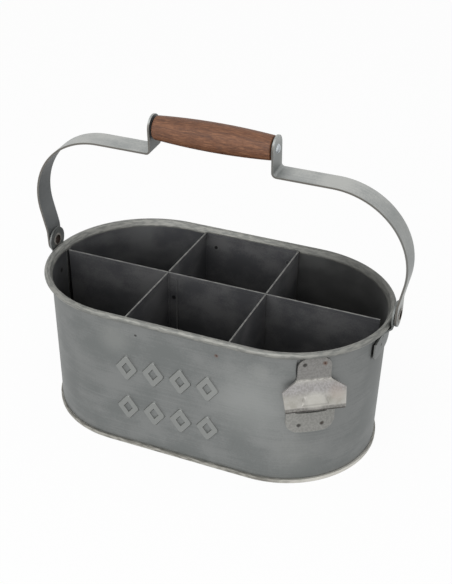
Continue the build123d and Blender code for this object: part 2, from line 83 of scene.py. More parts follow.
def linear(hex_colour: str) -> Colour:
    """Turn an sRGB hex colour into linear values.

    Args:
        hex_colour: Six hex digits, with or without a hash sign.

    Returns:
        Red, green, blue and an alpha of 1.
    """
    digits = hex_colour.lstrip("#")
    values = [int(digits[i : i + 2], 16) / 255 for i in (0, 2, 4)]
    red, green, blue = (v / 12.92 if v <= 0.04045 else ((v + 0.055) / 1.055) ** 2.4 for v in values)
    return red, green, blue, 1.0


def add_node(tree: Tree, kind: str, inputs: Inputs | None = None, **settings: Any) -> Node:
    """Add a node, set its properties, and fill or link its inputs.

    Args:
        tree: Node tree that gets the node.
        kind: Node type, such as ShaderNodeMath.
        inputs: Socket name or number to a value, or to a socket that is linked to it.
        settings: Properties of the node by name.

    Returns:
        The new node.
    """
    node = tree.nodes.new(kind)
    for name, value in settings.items():
        setattr(node, name, value)
    for key, value in (inputs or {}).items():
        if isinstance(value, bpy.types.NodeSocket):
            tree.links.new(value, node.inputs[key])
        else:
            node.inputs[key].default_value = value
    return node


# Plan, marks and bands


@dataclass(frozen=True)
class Oval:
    """Plan of the tub: two round ends on straight flanks, a little wider toward the rim."""

    flank_half_mm: float = 77.5
    foot_radius_mm: float = 96.9
    flare_height_mm: float = 7.0
    slope: float = 0.0189

    def radius_mm(self, height_mm: float) -> float:
        """Radius of a round end at a height, to the middle of the sheet."""
        return self.foot_radius_mm + (height_mm - self.flare_height_mm) * self.slope

    def on_end(self, azimuth: float, height_mm: float, out_mm: float) -> Point:
        """Give a point at the right round end.

        Args:
            azimuth: Degrees from straight ahead, round the end.
            height_mm: Height over the floor.
            out_mm: Distance outward from the middle of the wall's sheet.

        Returns:
            The point, in millimetres.
        """
        turn = math.radians(azimuth)
        radius = self.radius_mm(height_mm) + out_mm
        return self.flank_half_mm + radius * math.sin(turn), -radius * math.cos(turn), height_mm


@dataclass(frozen=True)
class Mark:
    """Round mark, such as the burnt spot that a weld leaves; some marks are painted light and painted shade.

    It covers fully up to its inner radius and ends at its outer one, which the ragged edge shifts. A squeeze
    below 1 draws it out along that axis.
    """

    at_mm: Point
    inner_mm: float
    outer_mm: float
    colour: str = StainAndShade.BURNT.value
    most: float = 0.85
    ragged_mm: float = 0.8
    squeeze: Point = ALL_WAYS


@dataclass(frozen=True)
class Band:
    """Mottled stretch between two heights, such as a rolled rim, a seam or a rubbed edge; some bands are
    painted shade.
    """

    low_mm: float
    high_mm: float
    dark: str
    light: str
    streak_mm: Point
    most: float = 1.0
    soft_mm: float = 0.3


# Shading


@dataclass
class Shading:
    """A material under construction, with the patterns that the finishes share.

    The ragged edges of marks have a grain of 1.8 mm, coarser than real ones, because a pixel of the picture
    covers about 1 mm.
    """

    name: str
    material: Material = field(init=False)
    tree: Tree = field(init=False)
    point: Socket = field(init=False)
    place: Socket = field(init=False)
    shader: Node = field(init=False)
    ragged_grain_mm: Point = (1.8, 1.8, 1.8)
    ragged_octaves: int = 3
    mottle_octaves: int = 4
    mottle_span: Span = (0.4, 0.6)
    corner_span: Span = (0.8, 0.3)
    corner_samples: int = 8
    arris_span: Span = (0.98, 0.88)
    arris_samples: int = 6

    def __post_init__(self) -> None:
        """Start an empty material that reads Object coordinates."""
        self.material = bpy.data.materials.new(self.name)
        self.material.use_nodes = True
        self.tree = self.material.node_tree
        self.tree.nodes.clear()
        self.point = self.place = self.node("ShaderNodeTexCoord", out="Object")
        self.shader = add_node(self.tree, "ShaderNodeBsdfPrincipled")
        add_node(self.tree, "ShaderNodeOutputMaterial", {"Surface": self.shader.outputs["BSDF"]})

    def node(self, kind: str, inputs: Inputs | None = None, out: int | str = 0, **settings: Any) -> Socket:
        """Add a node to this material and give one of its outputs. See add_node."""
        return add_node(self.tree, kind, inputs, **settings).outputs[out]

    def roll_out(self, oval: Oval) -> None:
        """Lay the patterns along the sheet, round the oval, instead of straight through the piece.

        The place of a pattern then is: along the sheet, out from the oval's middle line, and up.

        Args:
            oval: The plan that the sheet follows.
        """
        axes = add_node(self.tree, "ShaderNodeSeparateXYZ", {0: self.point}).outputs
        half = oval.flank_half_mm * MM
        radius = oval.foot_radius_mm * MM
        rear = self.node("ShaderNodeMath", {0: axes["Y"], 1: 0.0}, operation="GREATER_THAN")
        way = self.node("ShaderNodeMath", {0: rear, 1: -2.0, 2: 1.0}, operation="MULTIPLY_ADD")
        flank = self.node("ShaderNodeClamp", {"Value": axes["X"], "Min": -half, "Max": half})
        beyond = self.node("ShaderNodeMath", {0: axes["X"], 1: flank}, operation="SUBTRACT")
        side = self.node("ShaderNodeMath", {0: beyond, 1: way}, operation="MULTIPLY")
        depth = self.node("ShaderNodeMath", {0: axes["Y"]}, operation="ABSOLUTE")
        angle = self.node("ShaderNodeMath", {0: side, 1: depth}, operation="ARCTAN2")
        start = self.node("ShaderNodeMath", {0: rear, 1: 2 * half + math.pi * radius}, operation="MULTIPLY")
        arc = self.node("ShaderNodeMath", {0: angle, 1: radius, 2: start}, operation="MULTIPLY_ADD")
        along = self.node("ShaderNodeMath", {0: flank, 1: way, 2: arc}, operation="MULTIPLY_ADD")
        flat = self.node("ShaderNodeCombineXYZ", {"X": beyond, "Y": axes["Y"]})
        out = self.node("ShaderNodeVectorMath", {0: flat}, out="Value", operation="LENGTH")
        self.place = self.node("ShaderNodeCombineXYZ", {"X": along, "Y": out, "Z": axes["Z"]})

    def blots(self, grain_mm: Point, octaves: int, seed: int) -> Socket:
        """Soft blots with a real size along each axis.

        Args:
            grain_mm: Size of one blot along X, Y and Z, in millimetres.
            octaves: How many times a finer pattern is added.
            seed: Shift of the pattern, in blots.

        Returns:
            A factor from 0 to 1, mostly between 0.35 and 0.65.
        """
        scale = [1 / (MM * size) for size in grain_mm]
        shift = (float(seed),) * 3
        moved = self.node("ShaderNodeMapping", {"Vector": self.place, "Location": shift, "Scale": scale})
        return self.node("ShaderNodeTexNoise", {"Vector": moved, "Scale": 1.0, "Detail": octaves}, out="Fac")

    def sum_of(self, *shares: tuple[Socket, float], start: float = 0.0) -> Socket:
        """Add patterns up.

        Args:
            shares: Patterns, each with its share.
            start: What they are added to.

        Returns:
            The sum.
        """
        total: Socket | float = start
        for pattern, share in shares:
            total = self.node("ShaderNodeMath", {0: pattern, 1: share, 2: total}, operation="MULTIPLY_ADD")
        return total

    def lay(
        self, under: Socket | str, over: Socket | str, pattern: Socket, span: Span, most: float = 1.0
    ) -> Socket:
        """Lay one colour over another, softly, where a pattern passes through a span.

        Args:
            under: The skin so far, or a hex colour.
            over: What is laid on it.
            pattern: What decides how much of it shows.
            span: The pattern's values where it starts to show, and where it shows most.
            most: How much of it shows there.

        Returns:
            The new skin.
        """
        pair = [linear(colour) if isinstance(colour, str) else colour for colour in (under, over)]
        limits = {"Value": pattern, "From Min": span[0], "From Max": span[1], "To Min": 0.0, "To Max": most}
        factor = self.node("ShaderNodeMapRange", limits, out="Result", interpolation_type="SMOOTHSTEP")
        return self.node("ShaderNodeMix", {"Factor": factor, 6: pair[0], 7: pair[1]}, out=2, data_type="RGBA")

    def marks(self, colour: Socket, marks: tuple[Mark, ...]) -> Socket:
        """Lay round marks with ragged edges over a colour.

        Args:
            colour: The skin so far.
            marks: Marks, the later ones on top.

        Returns:
            The skin with its marks.
        """
        ragged = self.blots(self.ragged_grain_mm, self.ragged_octaves, Seed.RAGGED)
        for mark in marks:
            centre = [v * MM for v in mark.at_mm]
            offset = self.node("ShaderNodeVectorMath", {0: self.point, 1: centre}, operation="SUBTRACT")
            drawn = self.node("ShaderNodeVectorMath", {0: offset, 1: mark.squeeze}, operation="MULTIPLY")
            gap = self.node("ShaderNodeVectorMath", {0: drawn}, out="Value", operation="LENGTH")
            edge = self.sum_of((gap, 1.0), (ragged, 2 * mark.ragged_mm * MM))
            outer = (mark.outer_mm + mark.ragged_mm) * MM
            inner = (mark.inner_mm + mark.ragged_mm) * MM
            colour = self.lay(colour, mark.colour, edge, (outer, inner), mark.most)
        return colour

    def bands(self, colour: Socket, bands: tuple[Band, ...]) -> Socket:
        """Lay mottled bands between two heights over a colour.

        Args:
            colour: The skin so far.
            bands: Bands, the later ones on top.

        Returns:
            The skin with its bands.
        """
        height = self.node("ShaderNodeSeparateXYZ", {0: self.point}, out="Z")
        for number, band in enumerate(bands):
            mottle = self.blots(band.streak_mm, self.mottle_octaves, Seed.MOTTLE + number)
            skin = self.lay(band.dark, band.light, mottle, self.mottle_span)
            middle = (band.low_mm + band.high_mm) / 2 * MM
            half = (band.high_mm - band.low_mm) / 2
            offset = self.node("ShaderNodeMath", {0: height, 1: middle}, operation="SUBTRACT")
            away = self.node("ShaderNodeMath", {0: offset}, operation="ABSOLUTE")
            edge = ((half + band.soft_mm) * MM, (half - band.soft_mm) * MM)
            colour = self.lay(colour, skin, away, edge, band.most)
        return colour

    def hollows(self, colour: Socket, dirt_and_shade: str, reach_mm: float, most: float, own: bool) -> Socket:
        """Darken hollows and inner corners with grime and old flux, and with painted shade where less light
        reaches.

        Args:
            colour: The skin so far.
            dirt_and_shade: Colour of the grime, which also stands for painted shade.
            reach_mm: How far from a corner it reaches.
            most: How much of it there is in the deepest corner.
            own: Whether only the piece's own corners count, and not those with its neighbours.

        Returns:
            The skin with its grime and painted shade.
        """
        inputs = {"Distance": reach_mm * MM}
        settings = {"samples": self.corner_samples, "only_local": own}
        open_sky = self.node("ShaderNodeAmbientOcclusion", inputs, out="AO", **settings)
        return self.lay(colour, dirt_and_shade, open_sky, self.corner_span, most)

    def arrises(self, colour: Socket, bright: str, width_mm: float, most: float) -> Socket:
        """Brighten outer and inner edges, where handling rubs the skin away.

        Args:
            colour: The skin so far.
            bright: Colour of the rubbed edges.
            width_mm: How far they reach from the edge.
            most: How far the skin is rubbed away.

        Returns:
            The skin with its rubbed edges.
        """
        rounded = self.node("ShaderNodeBevel", {"Radius": width_mm * MM}, samples=self.arris_samples)
        pair = {0: rounded, 1: self.node("ShaderNodeNewGeometry", out="Normal")}
        flat = self.node("ShaderNodeVectorMath", pair, out="Value", operation="DOT_PRODUCT")
        return self.lay(colour, bright, flat, self.arris_span, most)

    def finish(self, colour: Socket, rough: Socket, *relief: tuple[Socket, float]) -> Material:
        """Link the finished patterns to the shader.

        Args:
            colour: The whole skin.
            rough: Its roughness.
            relief: Patterns that stand out, each with its depth in millimetres.

        Returns:
            The material.
        """
        self.tree.links.new(colour, self.shader.inputs["Base Color"])
        self.tree.links.new(rough, self.shader.inputs["Roughness"])
        normal: Socket | None = None
        for pattern, depth_mm in relief:
            inputs: Inputs = {"Height": pattern, "Distance": depth_mm * MM, "Strength": 1.0}
            if normal is not None:
                inputs["Normal"] = normal
            normal = self.node("ShaderNodeBump", inputs)
        self.tree.links.new(normal, self.shader.inputs["Normal"])
        return self.material


# Finishes


@dataclass(frozen=True)
class ZincSkin:
    """Hot-dip galvanised steel sheet, aged.

    The bright zinc has dulled to a cloudy blue-grey, with fine rolling lines, paler rubbed edges and brown
    grime in its hollows, so it looks soft and satin and takes only blurred reflections. The darkening of its
    hollows and corners is also painted shade, and some pieces carry painted shade and painted light in their
    skins as well. Grain and rolling lines are finer on the real sheet: they are drawn 1.1 to 1.7 mm wide
    because a pixel of the picture covers about 1 mm.
    """

    name: str
    dark: str = "#737675"
    light: str = "#838584"
    tone_span: Span = (0.4, 0.6)
    cloud_mm: Point = (48.0, 48.0, 34.0)
    lines_mm: Point = (70.0, 70.0, 1.1)
    grain_mm: Point = (1.7, 1.7, 1.7)
    octaves: int = 3
    lined: float = 0.2
    speckled: float = 0.2

    # Inner face and raised motif of a sheet that follows the oval: the inner face is painted darker as
    # painted shade, more so further down, and the motif's slanting sides are painted darker as painted shade
    oval: Oval | None = None
    shaded_inner_dark: str | None = None
    shaded_inner_light: str = "#767778"
    inner_span: Span = (0.38, 0.62)
    inner_speckled: float = 0.15
    inner_marks: tuple[Mark, ...] = ()
    inner_face_mm: Span = (-0.15, 0.15)
    # Painted shade, more of it further down inside
    deep_shade: str = "#343434"
    deep_shade_mm: Span = (152.0, 84.0)
    deep_shade_most: float = 0.6
    raised: str = "#8B8D8B"
    raised_mm: Span = (-1.2, -1.55)
    # Painted shade on the raised motif's slanting sides
    sloped_shade: str = "#5A5C5B"
    sloped_shade_mm: Span = (-0.45, -0.75)
    sloped_shade_most: float = 0.55

    # Inner face and sheared sides of a strap: the faces turned inward and down are painted darker as painted
    # shade
    shaded_underside: str | None = None
    shaded_underside_shares: Span = (0.8, 0.6)
    shaded_underside_span: Span = (0.15, -0.15)
    sheared: str | None = None
    sheared_span: Span = (0.8, 0.95)
    strap_most: float = 0.85

    # Wear and stains, with painted light and painted shade among the bands and marks and in the darkened
    # corners
    bands: tuple[Band, ...] = ()
    marks: tuple[Mark, ...] = ()
    rubbed: str = "#A9A8A2"
    rubbed_mm: float = 0.5
    rubbed_most: float = 0.5
    # Grime and painted shade in hollows and corners
    dirt_and_shade: str = "#3B3733"
    dirt_and_shade_mm: float = 4.0
    dirt_and_shade_most: float = 0.5
    own_dirt_and_shade: bool = True

    # Shine and relief
    metallic: float = 0.8
    roughness: float = 0.56
    cloud_rough: float = 0.18
    grain_rough: float = 0.1
    lines_rough: float = 0.06
    dent_mm: Point = (36.0, 36.0, 28.0)
    dent_octaves: int = 1
    dent_depth_mm: float = 0.3
    grain_depth_mm: float = 0.025
    lines_depth_mm: float = 0.012

    def build(self) -> Material:
        """Make the material.

        Returns:
            The material.
        """
        s = Shading(self.name)
        if self.oval is not None:
            s.roll_out(self.oval)
        cloud = s.blots(self.cloud_mm, self.octaves, Seed.CLOUDS)
        lines = s.blots(self.lines_mm, self.octaves, Seed.LINES)
        grain = s.blots(self.grain_mm, self.octaves, Seed.GRAIN)
        dents = s.blots(self.dent_mm, self.dent_octaves, Seed.DENTS)
        tone = s.sum_of((cloud, 1 - self.speckled - self.lined), (lines, self.lined), (grain, self.speckled))
        colour = s.lay(self.dark, self.light, tone, self.tone_span)
        inner_tone = s.sum_of((cloud, 1 - self.inner_speckled), (grain, self.inner_speckled))
        colour = self.inside(s, colour, inner_tone)
        colour = s.bands(colour, self.bands)
        colour = self.faces(s, colour)
        colour = s.arrises(colour, self.rubbed, self.rubbed_mm, self.rubbed_most)
        colour = s.hollows(colour, self.dirt_and_shade, self.dirt_and_shade_mm, self.dirt_and_shade_most, self.own_dirt_and_shade)
        colour = s.marks(colour, self.marks)
        shares = ((cloud, self.cloud_rough), (grain, self.grain_rough), (lines, self.lines_rough))
        rough = s.sum_of(*shares, start=self.roughness - sum(share for _, share in shares) / 2)
        s.shader.inputs["Metallic"].default_value = self.metallic
        relief = ((dents, self.dent_depth_mm), (grain, self.grain_depth_mm), (lines, self.lines_depth_mm))
        return s.finish(colour, rough, *relief)

    def inside(self, s: Shading, colour: Socket, tone: Socket) -> Socket:
        """Lay the inner face's skin, bluer and darker as painted shade, with more painted shade further down,
        and on the raised motif the rubbed skin of its tops and painted shade on its slanting sides.

        Args:
            s: The material.
            colour: Skin of the outer face.
            tone: Cloudy pattern of the inner face.

        Returns:
            The skin of both faces.
        """
        if self.shaded_inner_dark is None or self.oval is None:
            return colour
        axes = add_node(s.tree, "ShaderNodeSeparateXYZ", {0: s.place}).outputs
        start = self.oval.radius_mm(0.0) * MM
        lean = {0: axes["Z"], 1: self.oval.slope, 2: start}
        middle = s.node("ShaderNodeMath", lean, operation="MULTIPLY_ADD")
        inward = s.node("ShaderNodeMath", {0: middle, 1: axes["Y"]}, operation="SUBTRACT")
        depth = s.node("ShaderNodeMath", {0: inward, 1: MM}, operation="DIVIDE")
        height = s.node("ShaderNodeMath", {0: axes["Z"], 1: MM}, operation="DIVIDE")
        colour = s.lay(colour, self.sloped_shade, depth, self.sloped_shade_mm, self.sloped_shade_most)
        colour = s.lay(colour, self.raised, depth, self.raised_mm)
        inner = s.lay(self.shaded_inner_dark, self.shaded_inner_light, tone, self.inner_span)
        inner = s.lay(inner, self.deep_shade, height, self.deep_shade_mm, self.deep_shade_most)
        inner = s.marks(inner, self.inner_marks)
        return s.lay(colour, inner, depth, self.inner_face_mm)

    def faces(self, s: Shading, colour: Socket) -> Socket:
        """Lay painted shade on a strap's faces that turn inward and down, and the brown of its sheared sides.

        Args:
            s: The material.
            colour: Skin of the outer face.

        Returns:
            The skin of all faces.
        """
        if self.shaded_underside is None or self.sheared is None:
            return colour
        facing = s.node("ShaderNodeTexCoord", out="Normal")
        normal = add_node(s.tree, "ShaderNodeSeparateXYZ", {0: facing}).outputs
        across = s.node("ShaderNodeSeparateXYZ", {0: s.point}, out="X")
        end = s.node("ShaderNodeMath", {0: across}, operation="SIGN")
        outward = s.node("ShaderNodeMath", {0: normal["X"], 1: end}, operation="MULTIPLY")
        out_share, up_share = self.shaded_underside_shares
        outer = s.sum_of((outward, out_share), (normal["Z"], up_share))
        colour = s.lay(colour, self.shaded_underside, outer, self.shaded_underside_span, self.strap_most)
        side = s.node("ShaderNodeMath", {0: normal["Y"]}, operation="ABSOLUTE")
        return s.lay(colour, self.sheared, side, self.sheared_span, self.strap_most)


@dataclass(frozen=True)
class TurnedWood:
    """Turned hardwood, stained and lightly oiled.

    Brown streaks, fine fibres and short dark pores run along the grip, which gives it a dry, open look. Real
    fibres and pores are a few tenths of a millimetre wide: they are drawn about 1 mm wide because a pixel of
    the picture covers that much.
    """

    name: str
    dark: str = "#4E2E1B"
    light: str = "#764D34"
    tone_span: Span = (0.36, 0.6)
    pale: str = "#946A4D"
    pale_span: Span = (0.53, 0.68)
    pale_most: float = 0.45
    pore: str = "#3A2216"
    pore_span: Span = (0.58, 0.68)
    pore_most: float = 0.4
    marks: tuple[Mark, ...] = ()
    streak_mm: Point = (70.0, 4.0, 4.0)
    fibre_mm: Point = (10.0, 1.0, 1.0)
    fleck_mm: Point = (3.5, 0.8, 0.8)
    streak_octaves: int = 4
    fibre_octaves: int = 3
    fleck_octaves: int = 2
    streaked: float = 0.3
    fibrous: float = 0.4
    flecked: float = 0.3
    roughness: float = 0.38
    fibre_rough: float = 0.3
    streak_rough: float = 0.1
    sunk_span: Span = (0.7, 0.6)
    depth_mm: float = 0.12

    def build(self) -> Material:
        """Make the material.

        Returns:
            The material.
        """
        s = Shading(self.name)
        streaks = s.blots(self.streak_mm, self.streak_octaves, Seed.CLOUDS)
        fibre = s.blots(self.fibre_mm, self.fibre_octaves, Seed.FIBRE)
        flecks = s.blots(self.fleck_mm, self.fleck_octaves, Seed.FLECKS)
        tone = s.sum_of((streaks, self.streaked), (fibre, self.fibrous), (flecks, self.flecked))
        colour = s.lay(self.dark, self.light, tone, self.tone_span)
        colour = s.lay(colour, self.pale, fibre, self.pale_span, self.pale_most)
        colour = s.lay(colour, self.pore, flecks, self.pore_span, self.pore_most)
        colour = s.marks(colour, self.marks)
        rough = s.sum_of((fibre, self.fibre_rough), (streaks, self.streak_rough), start=self.roughness)
        start, end = self.sunk_span
        inputs = {"Value": flecks, "From Min": start, "From Max": end}
        unsunk = s.node("ShaderNodeMapRange", inputs, out="Result", interpolation_type="SMOOTHSTEP")
        return s.finish(colour, rough, (fibre, self.depth_mm), (unsunk, self.depth_mm))


# Studio


@dataclass
class Studio:
    """Pale floor, one soft lamp, white surroundings and the photograph's camera."""

    azimuth: float = 22.182
    elevation: float = 30.551
    roll: float = 1.095
    distance_mm: float = 1032.0154
    target_mm: Point = (17.8965, -18.1368, 156.6645)
    focal_pixels: float = 1033.125
    image_height: int = 584
    sensor_mm: float = 36.0
    nearest: float = 0.05
    farthest: float = 50.0
    floor_size: float = 12.0
    floor_colour: str = "#F6F6F6"
    floor_white_share: float = 0.94
    dome_strength: float = 0.55
    lamp_place: Point = (0.05, -1.8, 1.5)
    lamp_aim: Point = (0.0, 0.0, 0.12)
    lamp_size: float = 2.6
    lamp_watts: float = 38.0

    def camera(self) -> None:
        """Set the camera where the photograph was taken."""
        turn, rise, roll = (math.radians(v) for v in (self.azimuth, self.elevation, self.roll))
        back = Vector((math.sin(turn) * math.cos(rise), -math.cos(turn) * math.cos(rise), math.sin(rise)))
        right = Vector((math.cos(turn), math.sin(turn), 0))
        up = back.cross(right)
        level_right = math.cos(roll) * right + math.sin(roll) * up
        level_up = -math.sin(roll) * right + math.cos(roll) * up
        data = bpy.data.cameras.new("photo_camera")
        data.sensor_width = self.sensor_mm
        data.lens = self.sensor_mm * self.focal_pixels / self.image_height
        data.clip_start = self.nearest
        data.clip_end = self.farthest
        camera = bpy.data.objects.new("photo_camera", data)
        bpy.context.scene.collection.objects.link(camera)
        matrix = Matrix((level_right, level_up, back)).transposed().to_4x4()
        matrix.translation = (Vector(self.target_mm) + back * self.distance_mm) * MM
        camera.matrix_world = matrix
        bpy.context.scene.camera = camera

    def lamp(self) -> None:
        """Add the soft square lamp in front of the caddy."""
        data = bpy.data.lights.new("key_lamp", "AREA")
        data.size = self.lamp_size
        data.energy = self.lamp_watts
        lamp = bpy.data.objects.new("key_lamp", data)
        bpy.context.scene.collection.objects.link(lamp)
        aim = Vector(self.lamp_aim) - Vector(self.lamp_place)
        turned = aim.to_track_quat("-Z", "Y").to_matrix().to_4x4()
        lamp.matrix_world = Matrix.Translation(self.lamp_place) @ turned

    def seen_white(self, tree: Tree) -> Socket:
        """Tell camera rays, reflections and rays through glass from the rays that light the caddy.

        Args:
            tree: Node tree of the floor or the world.

        Returns:
            1 for the rays that see a white backdrop, else 0.
        """
        rays = add_node(tree, "ShaderNodeLightPath").outputs
        through = {0: rays["Is Glossy Ray"], 1: rays["Is Transmission Ray"]}
        bent = add_node(tree, "ShaderNodeMath", through, operation="MAXIMUM")
        either = {0: bent.outputs[0], 1: rays["Is Camera Ray"]}
        return add_node(tree, "ShaderNodeMath", either, operation="MAXIMUM").outputs[0]

    def floor(self) -> None:
        """Lay a wide pale floor that shows white to the camera and keeps the shadow."""
        bpy.ops.object.select_all(action="DESELECT")
        bpy.ops.mesh.primitive_plane_add(size=self.floor_size, location=(0, 0, 0))
        floor = bpy.context.object
        floor.name = "floor"
        material = bpy.data.materials.new("matt_white_backdrop")
        material.use_nodes = True
        tree = material.node_tree
        tree.nodes.clear()
        matt = add_node(tree, "ShaderNodeBsdfDiffuse", {"Color": linear(self.floor_colour)})
        glow = add_node(tree, "ShaderNodeEmission", {"Color": WHITE, "Strength": 1.0})
        factors = {0: self.seen_white(tree), 1: self.floor_white_share}
        share = add_node(tree, "ShaderNodeMath", factors, operation="MULTIPLY")
        inputs = {0: share.outputs[0], 1: matt.outputs[0], 2: glow.outputs[0]}
        mixed = add_node(tree, "ShaderNodeMixShader", inputs)
        add_node(tree, "ShaderNodeOutputMaterial", {"Surface": mixed.outputs[0]})
        floor.data.materials.append(material)

    def world(self) -> None:
        """Light grey surroundings that the camera sees as white."""
        world = bpy.data.worlds.new("studio")
        world.use_nodes = True
        tree = world.node_tree
        tree.nodes.clear()
        dome = add_node(tree, "ShaderNodeBackground", {"Color": WHITE, "Strength": self.dome_strength})
        white = add_node(tree, "ShaderNodeBackground", {"Color": WHITE, "Strength": 1.0})
        inputs = {0: self.seen_white(tree), 1: dome.outputs[0], 2: white.outputs[0]}
        mixed = add_node(tree, "ShaderNodeMixShader", inputs)
        add_node(tree, "ShaderNodeOutputWorld", {"Surface": mixed.outputs[0]})
        bpy.context.scene.world = world

    def build(self) -> None:
        """Set up the whole studio."""
        bpy.context.scene.view_settings.view_transform = "Standard"
        self.camera()
        self.floor()
        self.world()
        self.lamp()


# The caddy


def dress(nodes: dict[str, Object], names: tuple[str, ...], material: Material) -> None:
    """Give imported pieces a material.

    Args:
        nodes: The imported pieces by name.
        names: Pieces that get the material.
        material: Finish for every slot of these pieces.
    """
    for name in names:
        slots = nodes[name].data.materials
        if not slots:
            slots.append(material)
        for index in range(len(slots)):
            slots[index] = material
        LOG.info("%s dressed in %s", name, material.name)


@dataclass
class Tub:
    """Wall, rolled rim, base and cells."""

    oval: Oval = Oval()
    web_weld_x_mm: float = 42.5
    web_weld_height_mm: float = 137.0
    web_inset_mm: float = 1.2
    flange_weld_x_mm: float = 47.9
    flange_edge_x_mm: float = 43.9
    flange_middle_height_mm: float = 76.0
    flange_weld_heights_mm: Span = (32.0, 125.0)
    flange_face_y_mm: float = 1.2
    ear_weld_y_mm: float = 12.5
    ear_weld_height_mm: float = 134.0
    bead_low_mm: float = 151.0
    top_mm: float = 159.4
    plate_top_mm: float = 154.0
    plate_edge_mm: float = 0.35
    hem_mm: float = 149.6
    foot_top_mm: float = 4.9
    margin_mm: float = 1.0

    # Inner and outer radius of what each weld leaves
    web_spot_mm: Span = (0.6, 1.9)
    rust_spot_mm: Span = (0.8, 2.8)
    rust_core_mm: Span = (0.5, 1.3)
    ear_spot_mm: Span = (1.6, 3.9)
    cell_spot_mm: Span = (1.2, 2.8)
    flange_spot_mm: Span = (1.5, 3.0)

    # How strongly the left and the right welds of the webs show inside the cells
    web_weld_most: Span = (0.85, 0.3)

    # Painted shadows in the upright gaps beside the opener's tab and the right ear, by azimuth round the end
    # and height
    gap_shadow_lines: tuple[Span, ...] = ((25.0, 138.0), (73.7, 134.0))
    gap_shadow_out_mm: float = 0.5
    gap_shadow_line_mm: Span = (0.8, 1.7)
    gap_shadow_shape: Point = (1.0, 1.0, 0.14)

    # Painted shadow in the upright gap at the left end, where the sheet's ends overlap: how far inward from
    # the left end, how far to the rear, and how high
    lap_shadow_mm: Point = (1.0, 3.2, 95.0)
    lap_shadow_line_mm: Span = (2.4, 3.4)
    lap_shadow_shape: Point = (0.2, 1.0, 0.045)

    # Painted shadow line beside each flange's edge and painted highlight line on it, by distance from the
    # edge
    edge_shadow_and_highlight_lines: tuple[tuple[float, str], ...] = ((-0.7, StainAndShade.SOOT_AND_SHADOW.value), (0.6, "#828280"))
    edge_shadow_and_highlight_mm: Span = (0.3, 1.0)
    edge_shadow_and_highlight_shape: Point = (1.0, 0.6, 0.012)
    line_ragged_mm: float = 0.3

    # Heights between which the cells are painted darker as painted shade
    deep_shade_mm: Span = (-60.0, 112.0)
    deep_shade_soft_mm: float = 38.0

    # Painted shade at the rear right of the rim, and painted pools of light on the front
    painted_light_and_shade_patches: tuple[Mark, ...] = (
        Mark((125.0, 85.0, 158.0), 40.0, 150.0, "#4C4C49", most=0.6, ragged_mm=4.0),
        Mark((-66.0, -100.0, 128.0), 4.0, 26.0, "#A1A29F", most=0.3, ragged_mm=6.0),
        Mark((86.0, -99.5, 130.0), 3.0, 15.0, "#A1A29F", most=0.28, ragged_mm=4.0),
        Mark((80.0, -99.0, 92.0), 6.0, 62.0, "#A5A7A5", most=0.42, ragged_mm=8.0),
        Mark((124.0, -88.0, 40.0), 4.0, 38.0, "#A1A29F", most=0.25, ragged_mm=6.0),
    )
    # Painted light on the right end of the rolled foot
    foot_painted_light: Mark = Mark((155.0, -62.0, 2.0), 20.0, 75.0, "#D8D6CF", most=0.8, ragged_mm=3.0)

    def burnt(self) -> tuple[Mark, ...]:
        """Marks that the welds leave on the wall, one of them rusty, and the painted shadows in the gaps
        beside tab and ear.

        Returns:
            The marks, the later ones on top.
        """
        out = self.oval.radius_mm(self.web_weld_height_mm)
        left, right = -self.web_weld_x_mm, self.web_weld_x_mm
        places = ((left, -out), (left, out), (right, out))
        marks = [Mark((x, y, self.web_weld_height_mm), *self.web_spot_mm) for x, y in places]
        rusty = (right, -out, self.web_weld_height_mm)
        marks.append(Mark(rusty, *self.rust_spot_mm, StainAndShade.RUST.value, most=0.7))
        marks.append(Mark(rusty, *self.rust_core_mm, StainAndShade.RUST_CORE.value, most=0.8))
        end = self.oval.flank_half_mm + self.oval.radius_mm(self.ear_weld_height_mm) - self.web_inset_mm
        for x in (-end, end):
            for y in (-self.ear_weld_y_mm, self.ear_weld_y_mm):
                marks.append(Mark((x, y, self.ear_weld_height_mm), *self.ear_spot_mm, StainAndShade.SCORCH.value))
        # Painted shadow lines in the gaps beside tab and ear
        upright = {"ragged_mm": self.line_ragged_mm, "squeeze": self.gap_shadow_shape}
        for azimuth, height in self.gap_shadow_lines:
            at = self.oval.on_end(azimuth, height, self.gap_shadow_out_mm)
            marks.append(Mark(at, *self.gap_shadow_line_mm, StainAndShade.SOOT_AND_SHADOW.value, **upright))
        return tuple(marks)

    def wall(self) -> Material:
        """Galvanised sheet, rolled: cloudy outside, bluer inside and darker there as painted shade, with a
        rubbed, speckled rim, painted pools of light on the front, painted shade at the rear right of the rim
        and painted shadow lines in the gaps.

        Returns:
            The material of the wall and its wire.
        """
        inward, across, height = self.lap_shadow_mm
        end = self.oval.flank_half_mm + self.oval.radius_mm(self.ear_weld_height_mm)
        upright = {"most": 0.95, "ragged_mm": 0.2, "squeeze": self.lap_shadow_shape}
        # Painted shadow in the gap beside the long divider's end, on the inner face
        lap_shadow = Mark((inward - end, across, height), *self.lap_shadow_line_mm, StainAndShade.SHADE.value, **upright)
        bead = Band(self.bead_low_mm, self.top_mm, "#7A7B78", "#91918C", (9.0, 1.8, 1.8), soft_mm=0.5)
        return ZincSkin(
            "galvanised_sheet_rolled",
            oval=self.oval,
            shaded_inner_dark="#5E5F62",
            inner_marks=(lap_shadow,),
            bands=(bead,),
            marks=self.painted_light_and_shade_patches + self.burnt(),
            # The wall also darkens where other pieces meet it: grime and painted shade
            own_dirt_and_shade=False,
        ).build()

